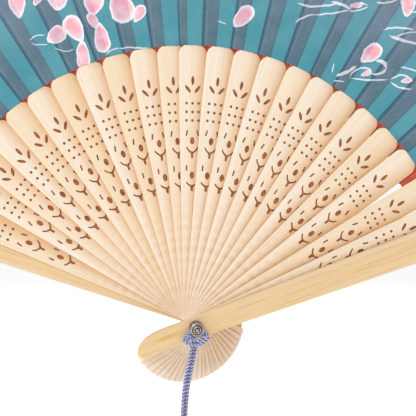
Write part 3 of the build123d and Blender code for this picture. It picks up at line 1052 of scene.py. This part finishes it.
# Brush lines: both ends, how far the middle stands to the left of the way there, and half width
LINES = [
    (-56.4, 101.3, -50.5, 103.6, 0.9, 0.28), (-56.4, 101.3, -49.5, 100.4, -0.7, 0.24),
    (-47.8, 99.3, -40.1, 99.1, -1.2, 0.24), (-29.9, 96.2, -24.5, 99.3, 0.6, 0.28),
    (-25.5, 99.2, -13.6, 98.9, 0.1, 0.32), (10.5, 108.8, 13.8, 107.5, 0.0, 0.26),
    (39.2, 115.7, 55.0, 115.7, -1.4, 0.42), (52.0, 116.0, 59.6, 113.2, 0.7, 0.62),
    (38.8, 108.2, 47.0, 111.4, 0.9, 0.38), (45.0, 111.2, 60.2, 113.4, -0.5, 0.34),
    (58.9, 112.9, 66.4, 114.4, 2.1, 0.42), (58.9, 112.9, 66.4, 114.4, -0.7, 0.34),
    (69.1, 116.0, 77.8, 117.3, -0.6, 0.36), (71.0, 105.8, 84.0, 106.2, 0.8, 0.40),
    (73.6, 103.9, 86.0, 101.0, -0.4, 0.52), (75.6, 102.9, 86.0, 105.2, 0.9, 0.30),
    (58.3, 88.0, 67.6, 90.9, 2.2, 0.36), (58.0, 88.2, 74.0, 87.6, -0.5, 0.36),
    (68.6, 94.6, 72.9, 91.8, 1.1, 0.70), (73.1, 92.3, 67.0, 89.9, 1.2, 0.50),
    (73.6, 87.0, 82.8, 87.4, 2.0, 0.38), (73.6, 87.0, 83.0, 84.4, -1.1, 0.36),
    (52.9, 93.6, 52.3, 90.0, 0.1, 0.30), (52.4, 87.1, 57.2, 86.6, 0.1, 0.30),
    (53.6, 88.9, 61.6, 92.9, -0.5, 0.62), (77.6, 92.4, 85.0, 90.6, 0.1, 0.34),
]
# Whole blossoms and cloud lines over the rest of the leaf: middle, size, turn
BLOSSOMS = [
    (-88.0, 122.0, 7.5, 12), (-62.0, 146.0, 8.5, 50), (-117.0, 88.0, 7.0, 30), (-20.0, 160.0, 8.0, 5),
    (44.0, 158.0, 7.0, 40), (104.0, 128.0, 8.0, 20), (146.0, 78.0, 7.0, 60),
]
CLOUDS = [
    (92.0, 108.0, 24.0, -20), (64.0, 138.0, 26.0, 10), (14.0, 142.0, 24.0, 5), (-94.0, 150.0, 20.0, 40),
    (-142.0, 82.0, 22.0, 60), (124.0, 98.0, 24.0, -40), (140.0, 56.0, 20.0, -60),
    (-18.0, 178.0, 22.0, 0),
]
# Start, end, lift and bulge of a cloud's strokes, as shares of its size
CLOUD_STROKES = [(-0.5, 0.3, 0.0, 0.14), (-0.2, 0.6, 0.16, -0.10), (0.0, 0.5, -0.14, 0.12)]
for x, z, size, turn in BLOSSOMS:
    for k in range(5):
        way = turn + 72 * k
        c, s = direction(way)
        PETALS.append((x + size * 0.62 * c, z + size * 0.62 * s, way, size * 0.62, size * 0.46))
for x, z, size, turn in CLOUDS:
    c, s = direction(turn)
    for start, end, lift, bulge in CLOUD_STROKES:
        ends = [(x + size * (t * c - lift * s), z + size * (t * s + lift * c)) for t in (start, end)]
        LINES.append((*ends[0], *ends[1], size * bulge, 0.42))


def to_local(place, x, z, turn, half_x, half_z):
    """Coordinates of a place from (x, z), turned and counted in half lengths."""
    c, s = direction(turn)
    u, w = place
    p = w.maths("MULTIPLY_ADD", s / half_x, -(x * c + z * s) / half_x)
    q = w.maths("MULTIPLY_ADD", c / half_z, (x * s - z * c) / half_z)
    return u.maths("MULTIPLY_ADD", c / half_x, p), u.maths("MULTIPLY_ADD", -s / half_z, q)


def reaches(points, margin, i):
    """Whether a shape through these points, with this margin round it, comes over pleat i."""
    left, right = stick_angles[i] + 2 * LIGHT_HALF, stick_angles[i + 1] - 2 * LIGHT_HALF
    for x, z in points:
        radius, turn = math.hypot(x, z), math.degrees(math.atan2(z, x))
        spare = math.degrees(margin / radius)
        if right - spare < turn < left + spare:
            return True
    return False


def petals_over(i):
    return [petal for petal in PETALS if reaches([petal[:2]], max(petal[3:]) + 1.5, i)]


def lines_over(i):
    kept = []
    for line in LINES:
        x0, z0, x1, z1, bulge, half = line
        points = [(x0 + (x1 - x0) * k / 6, z0 + (z1 - z0) * k / 6) for k in range(7)]
        if reaches(points, abs(bulge) + math.hypot(x1 - x0, z1 - z0) / 12 + 1.5, i):
            kept.append(line)
    return kept


def leaf_finish(name, lines=(), petals=(), faded=0.0):
    """The leaf's cloth, with painted light and shade on its pleats and the part of the print that falls on
    it.
    """
    finish = Finish(name, IOR=1.42, Sheen_Weight=0.15, Sheen_Roughness=0.5)
    place = finish.scaled(finish.uv("print"), 100.0)
    code, radius, _ = finish.split(finish.uv("fold"))
    radius = radius * 100
    folded = code.over(1.5)
    across = code - folded * 2
    mottle = finish.noise(place, 0.09, 3.0)
    threads = finish.noise(finish.vector("MULTIPLY", place, (3.0, 0.6, 1.0)), 1.6, 2.0, 0.7)
    # painted light and shade: the glued panels in lit teal, the folded panels in a darker slate
    lit_teal = finish.mix(finish.ease(mottle, 0.3, 0.7), paint(58, 146, 162), paint(78, 158, 170))
    shaded_slate = finish.mix(finish.ease(mottle, 0.3, 0.7), paint(72, 104, 118), paint(94, 118, 134))
    # painted shade in the valley at the folded panel's left edge, then a painted highlight on a thin ridge
    # just past it
    valley_shade = finish.ease(across, 0.24, 0.05)
    shaded_slate = finish.mix(valley_shade, shaded_slate, paint(22, 74, 100))
    ridge = finish.ease(abs(across - 0.30), 0.05, 0.01) * 0.30
    shaded_slate = finish.mix(ridge, shaded_slate, paint(132, 160, 186))
    # painted shade along the glued panel's right edge
    lit_teal = finish.wash(lit_teal, across, 0.90, 1.0, 0.45, paint(38, 112, 132))
    ground = finish.mix(folded, lit_teal, shaded_slate)
    haze = finish.ease(radius, 104.0, 150.0) * 0.28
    ground = finish.mix(haze, ground, paint(168, 176, 204))
    ground = finish.wash(ground, threads, 0.4, 0.75, 0.14, paint(150, 190, 204))
    grain = finish.noise(place, 2.6, 2.0, 0.7)
    ground = finish.wash(ground, grain, 0.42, 0.72, 0.20, paint(148, 178, 190))
    ground = finish.wash(ground, grain, 0.50, 0.26, 0.22, paint(24, 70, 92))
    if lines or petals:
        wobble = finish.noise(place, 0.35, output="Color")
        wobble = finish.scaled(finish.vector("SUBTRACT", wobble, (0.5, 0.5, 0.5)), 1.1)
        drawn = finish.split(finish.vector("ADD", place, wobble))[:2]
        ink, colour = None, ground
        for x0, z0, x1, z1, bulge, half in lines:
            length = math.hypot(x1 - x0, z1 - z0)
            turn = math.degrees(math.atan2(z1 - z0, x1 - x0))
            p, q = to_local(drawn, (x0 + x1) / 2, (z0 + z1) / 2, turn, length / 2, 1.0)
            body = 1 - p * p
            width = (body * 1.7).least(1.0)
            stroke = finish.ease(width.maths("MULTIPLY_ADD", half, 0.02) - abs(q - body * bulge), 0.0, 0.16)
            ink = stroke if ink is None else ink.top(stroke)
        if lines:
            colour = finish.mix(ink * 0.92, ground, paint(240, 238, 244))
        shades = finish.ease(finish.noise(place, 0.22, 2.0), 0.35, 0.65)
        pink = finish.mix(shades, paint(250, 178, 192), paint(250, 212, 222))
        for x, z, turn, half_long, half_wide in petals:
            p, q = to_local(drawn, x, z, turn, half_long, half_wide)
            q = q / (p.maths("MULTIPLY_ADD", 0.28, 0.80))
            reach = q.maths("MULTIPLY_ADD", q, p * p)
            petal = finish.mix(finish.ease(reach, 0.42, 0.80), pink, paint(250, 246, 250))
            colour = finish.mix(finish.ease(reach, 1.04, 0.94), colour, petal)
        # painted shade: the print darkened on the folded panels
        shaded_print = finish.mix(1.0, colour, (0.80, 0.80, 0.84, 1.0), "MULTIPLY")
        printed = finish.mix(folded, colour, shaded_print)
        inked = finish.vector("DISTANCE", colour, ground, output="Value")
        ground = finish.mix(finish.ease(inked, 0.02, 0.06), ground, printed)
    if faded:
        ground = finish.mix(faded, ground, paint(150, 186, 196))
    weave = []
    for way in ("X", "Y"):
        settings = {"wave_type": "BANDS", "bands_direction": way, "wave_profile": "SIN"}
        sockets = {"Vector": place, "Scale": 0.72, "Distortion": 0.3}
        weave.append(finish.node("ShaderNodeTexWave", settings, sockets))
    height = weave[0] * weave[1] + threads * 0.6
    rough = 0.62 + threads * 0.12
    return finish.done(ground, rough, height, 0.30, 0.00015)


leaf_fronts = [
    leaf_finish(f"leaf_print_{i + 1:02d}", lines_over(i), petals_over(i)) for i in range(last_stick)
]
leaf_back = leaf_finish("leaf_back", faded=0.35)

HEM_LOW, HEM_HIGH = 94.6, 100.3
HEM_DEPTH, HEM_HALF = 0.445, 0.03
HEM_WRAP = -4.85
HEM_WIDE_STEP, HEM_DIP = 5.9, 2.3  # past this step in degrees, mm lower for each degree


def hem_finish():
    finish = Finish("hem_tape_red", IOR=1.4)
    place = finish.place()
    threads = finish.noise(place, 1500.0, 3.0, 0.7)
    patches = finish.noise(place, 220.0, 2.0)
    colour = finish.mix(finish.ease(patches, 0.3, 0.7), paint(188, 80, 56), paint(206, 98, 70))
    colour = finish.wash(colour, threads, 0.5, 0.8, 0.35, paint(150, 46, 32))
    return finish.done(colour, 0.7 + threads * 0.15, threads, 0.4, 0.0002)


hem_red = hem_finish()


def hem_mesh(name, i):
    """The tape behind one rib, round its right edge and on behind the next rib."""
    left, right = stick_angles[i], stick_angles[i + 1]
    near, far = levels[i] + HEM_DEPTH, levels[i + 1] + HEM_DEPTH
    lowest = HEM_LOW - HEM_DIP * max(0.0, left - right - HEM_WIDE_STEP)
    hem_radii = (lowest, (lowest + HEM_HIGH) / 2, HEM_HIGH)
    row = [(left, 0.0, near), (left, HEM_WRAP, near), (left, HEM_WRAP - 0.12, far), (right, 0.0, far)]
    points = []
    for side in (-1, 1):
        for radius in hem_radii:
            for angle, shift, depth in row:
                c, s = direction(angle)
                along = math.sqrt(radius**2 - shift**2)
                x, z = along * c - shift * s, along * s + shift * c
                points.append((x * MM, (depth + side * HEM_HALF) * MM, z * MM))
    faces, across = [], len(row)
    layer = across * len(hem_radii)
    for k in range(2):
        for j in range(across - 1):
            a, b = k * across + j, (k + 1) * across + j
            faces += [[a + 1, b + 1, b, a], [layer + a, layer + b, layer + b + 1, layer + a + 1]]
    rim = [0, 4, 8, 9, 10, 11, 7, 3, 2, 1]
    for a, b in zip(rim, rim[1:] + rim[:1]):
        faces.append([a, b, b + layer, a + layer])
    return face_outwards(make_mesh(name, points, faces, [hem_red], smooth=False))


for i in range(last_stick):
    left, right = stick_angles[i], stick_angles[i + 1]
    folded_half = math.radians((left - right) / 2 - LIGHT_HALF)
    c, s = direction((left + right) / 2)
    reach = LEAF_INNER * math.sin(folded_half) * 0.97 * MM
    start, end = (-s * reach, 0.0, c * reach), (s * reach, 0.0, -c * reach)
    hem_name, leaf_name = f"hem_tape_{i + 1:02d}", f"leaf_pleat_{i + 1:02d}"
    hem = make_object(hem_name, hem_mesh(hem_name, i))
    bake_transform(hem)
    leaf = make_object(leaf_name, leaf_mesh(leaf_name, i, leaf_fronts[i], leaf_back))
    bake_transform(leaf)
    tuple(start)
    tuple(end)
    stood_for = [f"pleat_{i:02d}"] + ([f"pleat_{last_stick:02d}"] if i == last_stick - 1 else [])
    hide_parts(*stood_for)
    spread = left - right
    if i == 0 or i == last_stick - 1:
        spread += LIGHT_HALF


# ---------------------------------------------------------------- cord and tassel

# Middle line of the doubled cord, then how far each strand stands to its side and in front of it, in mm
CORD_ROUTE = [
    (-0.6, -13.76, -4.2, 0.69, 0.00),
    (-1.8, -13.80, -10.6, 0.69, 0.02),
    (-3.3, -13.88, -16.0, 0.68, 0.10),
    (-4.3, -13.96, -22.6, 0.66, 0.26),
    (-4.9, -14.00, -30.4, 0.62, 0.42),
    (-5.2, -14.02, -40.6, 0.54, 0.52),
    (-5.3, -14.00, -51.6, 0.48, 0.57),
    (-5.3, -14.03, -62.2, 0.44, 0.61),
]
# Half of the lark's head knot runs over the two strands, the other half round the rivet's neck
KNOT_ROUTE = [
    (-0.9, -15.15, -5.35), (-2.9, -15.05, -4.7), (-4.3, -14.75, -3.8), (-4.5, -14.2, -3.0),
    (-3.4, -13.65, -2.3), (-2.2, -13.55, -1.3), (-1.75, -13.6, 0.2), (-1.0, -13.6, 1.4),
    (0.0, -13.6, 1.75), (1.0, -13.6, 1.4), (1.75, -13.6, 0.2), (2.0, -13.55, -1.1), (3.0, -13.65, -1.9),
    (4.0, -14.2, -2.2), (3.9, -14.75, -3.2), (2.4, -15.05, -4.3), (0.8, -15.15, -5.2),
]
# The second turn, inside the first
KNOT_TURN_ROUTE = [
    (-0.5, -15.0, -3.85), (-1.6, -14.9, -3.5), (-2.7, -14.6, -3.0), (-2.9, -14.0, -2.5),
    (-1.9, -13.8, -2.2), (-0.2, -13.7, -2.1), (1.5, -13.8, -2.0), (2.5, -14.0, -2.0),
    (2.5, -14.6, -2.7), (1.5, -14.9, -3.2), (0.5, -15.0, -3.7),
]


def route_points(route, closed=False):
    """Points of the smooth line through a route, in metres, as its NURBS spline gives them."""
    curve = bpy.data.curves.new("route", "CURVE")
    curve.dimensions = "3D"
    curve.resolution_u = 16
    spline = curve.splines.new("NURBS")
    spline.points.add(len(route) - 1)
    for point, place in zip(spline.points, route):
        point.co = (*[x * MM for x in place], 1.0)
    spline.order_u = 3
    spline.use_endpoint_u = not closed
    spline.use_cyclic_u = closed
    holder = make_object("route", curve)
    mesh = evaluated_mesh(holder)
    points = [tuple(v.co) for v in mesh.vertices]
    bpy.data.objects.remove(holder)
    return points


def line_mesh(points, closed=False):
    mesh = bpy.data.meshes.new("line")
    edges = [(k, k + 1) for k in range(len(points) - 1)] + ([(len(points) - 1, 0)] if closed else [])
    mesh.from_pydata(points, edges, [])
    return mesh


PLY_SIDES, TWIST_STEP = 8, 0.28 * MM


def twist_tree(material):
    """Plies twisted round a line."""
    tree = Growth("twist_plies", Plies=int, Ply_radius=float, Offset=float, Pitch=float)
    given = tree.given
    line = tree.node("GeometryNodeMeshToCurve", None, {0: tree.start})
    sockets = {"Curve": line, "Length": TWIST_STEP}
    line = tree.node("GeometryNodeResampleCurve", {"mode": "LENGTH"}, sockets)
    sockets = {"Geometry": line, "Amount": given["Plies"]}
    copies = tree.node("GeometryNodeDuplicateElements", {"domain": "SPLINE"}, sockets)
    ply = Wire(tree, copies.socket.node.outputs["Duplicate Index"])
    along = tree.node("GeometryNodeSplineParameter", None, None, "Length")
    normal = tree.node("GeometryNodeInputNormal")
    tangent = tree.node("GeometryNodeInputTangent")
    turn = (ply / given["Plies"] + along / given["Pitch"]) * (2 * math.pi)
    other = tree.vector("CROSS_PRODUCT", tangent, normal)
    first = tree.vector("MULTIPLY", normal, tree.point(*[turn.maths("COSINE") * given["Offset"]] * 3))
    second = tree.vector("MULTIPLY", other, tree.point(*[turn.maths("SINE") * given["Offset"]] * 3))
    moved = tree.store(tree.store(copies, "along", along), "ply", ply)
    moved = tree.store(moved, "middle", tree.node("GeometryNodeInputPosition"), "FLOAT_VECTOR")
    sockets = {"Geometry": moved, "Offset": tree.vector("ADD", first, second)}
    moved = tree.node("GeometryNodeSetPosition", None, sockets)
    tube = tree.tube(moved, PLY_SIDES, given["Ply_radius"])
    here, middle = tree.node("GeometryNodeInputPosition"), tree.named("middle", "FLOAT_VECTOR")
    out = tree.vector("DISTANCE", here, middle, output="Value")
    reach = given["Offset"] + given["Ply_radius"]
    # how far out a point stands from the cord's middle, for the painted highlight on the plies' crests
    tube = tree.store(tube, "ridge", tree.ease(out / reach, 0.70, 0.98))
    return tree.finish(tube, material)


twist = twist_tree(cord_blue)
PLIES, PLY_RADIUS, PLY_OFFSET, TWIST_PITCH = 2, 0.38 * MM, 0.34 * MM, 2.5 * MM


def cord_mesh(points, closed=False):
    ends = list(zip(points, points[1:] + (points[:1] if closed else [])))
    length = sum(math.dist(a, b) for a, b in ends)
    pitch = length / round(length / TWIST_PITCH) if closed else TWIST_PITCH
    given = {"Plies": PLIES, "Ply_radius": PLY_RADIUS, "Offset": PLY_OFFSET, "Pitch": pitch}
    return grow(twist, given, line_mesh(points, closed))


both_turns = bmesh.new()
for route in (KNOT_ROUTE, KNOT_TURN_ROUTE):
    both_turns.from_mesh(cord_mesh(route_points(route, True), True))
knot_mesh = bpy.data.meshes.new("cord_knot_twisted")
knot_mesh.materials.append(cord_blue)
both_turns.to_mesh(knot_mesh)
both_turns.free()
knot = make_object("cord_knot_twisted", knot_mesh)
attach(knot, "back_guard")
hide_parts("cord_knot")

low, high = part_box("tassel_bead")
bead_middle = (low + high) / 2 / MM
bead_half = (high.z - low.z) / 2 / MM
BEAD_RADIUS, BEAD_CUT = 3.2, 68  # its round side ends this many degrees above and below its middle
bead_profile = []
for k in range(25):
    t = math.radians(-BEAD_CUT + 2 * BEAD_CUT * k / 24)
    height = bead_half * math.sin(t) / math.sin(math.radians(BEAD_CUT))
    bead_profile.append((BEAD_RADIUS * math.cos(t), height))
bead = lathe("bead_glazed", bead_profile, tuple(bead_middle), "Z", bead_glass)
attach(bead, "back_guard")
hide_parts("tassel_bead")

low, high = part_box("tassel_head")
HEAD_TOP, HEAD_LOW = high.z / MM, low.z / MM
head_profile, TURNS_OF_THREAD = [(0.9, HEAD_TOP)], 22
outline_places = [0.0, 0.12, 0.35, 0.60, 0.72, 0.84, 0.93, 1.0]
outline_radii = [1.3, 2.4, 3.15, 3.0, 2.55, 2.45, 2.75, 2.6]
for k in range(TURNS_OF_THREAD * 4 + 1):
    share = k / (TURNS_OF_THREAD * 4)
    ripple = 0.13 * abs(math.sin(math.pi * share * TURNS_OF_THREAD))
    radius = float(np.interp(share, outline_places, outline_radii)) - 0.05 + ripple
    head_profile.append((radius, HEAD_TOP - 0.1 - (HEAD_TOP - HEAD_LOW - 0.2) * share))
head_profile.append((1.0, HEAD_LOW))
wound = lathe("tassel_head_wound", head_profile, (bead_middle.x, bead_middle.y, 0.0), "Z", tassel_silk, 48)
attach(wound, "back_guard")
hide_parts("tassel_head")


STRAY = 0.0016  # how far a thread's lower end may stray, in metres


def skirt_tree(material):
    """Threads that hang from a small disc and spread a little on the way down."""
    sizes = dict.fromkeys(("Top_radius", "Spread", "Drop", "Thread_radius"), float)
    tree = Growth("tassel_threads", Threads=int, **sizes)
    given = tree.given

    def chance(seed, low, high):
        sockets = {"Min": low, "Max": high, "Seed": seed}
        made = tree.node("FunctionNodeRandomValue", {"data_type": "FLOAT"}, None, 1)
        inputs = made.socket.node.inputs
        for socket in inputs:
            if socket.enabled and socket.name in sockets:
                socket.default_value = sockets[socket.name]
        return made

    turn, reach = chance(3, 0.0, 2 * math.pi), chance(5, 0.0, 1.0).maths("SQRT")
    spots = [turn.maths(part) * reach * given["Top_radius"] for part in ("COSINE", "SINE")]
    place = tree.point(*spots)
    dots = tree.node("GeometryNodePoints", None, {"Count": given["Threads"], "Position": place})
    dots = tree.store(dots, "cut", chance(8, 0.93, 1.0))
    dots = tree.store(dots, "ply", chance(9, 0.0, 9.0))
    sockets = {"Start": (0, 0, 0), "End": tree.point(0.0, 0.0, given["Drop"] * -1.0)}
    line = tree.node("GeometryNodeCurvePrimitiveLine", None, sockets)
    line = tree.node("GeometryNodeResampleCurve", {"mode": "COUNT"}, {"Curve": line, "Count": 9})
    threads = tree.node("GeometryNodeInstanceOnPoints", None, {"Points": dots, "Instance": line})
    threads = tree.node("GeometryNodeRealizeInstances", None, {0: threads})
    x, y, z = tree.split(tree.node("GeometryNodeInputPosition"))
    share = z / given["Drop"] * -1.0
    cut, number = tree.named("cut"), tree.named("ply")
    swell = 1 + given["Spread"] * share.maths("POWER", 0.55)
    stray = tree.noise(tree.point(number * 3, z * 60, 0.5), 1.0, output="Color")
    stray = tree.vector("SUBTRACT", stray, (0.5, 0.5, 0.5))
    stray = tree.vector("MULTIPLY", stray, tree.point(share * STRAY, share * STRAY, 0.0))
    moved = tree.vector("ADD", tree.point(x * swell, y * swell, z * cut), stray)
    threads = tree.store(threads, "along", share * 0.04)
    threads = tree.node("GeometryNodeSetPosition", None, {"Geometry": threads, "Position": moved})
    return tree.finish(tree.tube(threads, 4, given["Thread_radius"]), material)


low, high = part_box("tassel_skirt")
threads_given = {"Threads": 340, "Top_radius": 2.3 * MM, "Spread": 0.85}
threads_given.update({"Drop": high.z - low.z - 0.2 * MM, "Thread_radius": 0.17 * MM})
skirt_mesh = grow(skirt_tree(tassel_silk), threads_given)
for vertex in skirt_mesh.vertices:
    vertex.co += Vector((bead_middle.x * MM, bead_middle.y * MM, high.z - 0.1 * MM))
skirt = make_object("tassel_threads", skirt_mesh)
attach(skirt, "back_guard")
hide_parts("tassel_skirt")

CORE_REACH = 0.62


def shade_between(mesh):
    """Marks the side of a strand that lies against the other one, where the cord's finish paints shade."""
    drops = [-z for _, _, z, _, _ in CORD_ROUTE]
    middles = [x for x, _, _, _, _ in CORD_ROUTE]
    core = mesh.attributes.new("core", "FLOAT", "POINT")
    values = []
    for vertex in mesh.vertices:
        away = abs(vertex.co.x / MM - float(np.interp(-vertex.co.z / MM, drops, middles)))
        values.append(max(0.0, 1 - away / CORE_REACH))
    core.data.foreach_set("value", values)
    return mesh


for name, side in (("cord_left", -1), ("cord_right", 1)):
    path = route_points([(x + side * out, y + side * behind, z) for x, y, z, out, behind in CORD_ROUTE])
    strand = make_object(f"{name}_twisted", shade_between(cord_mesh(path)))
    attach(strand, "back_guard")
    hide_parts(name)
    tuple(path[0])

bpy.context.view_layer.update()
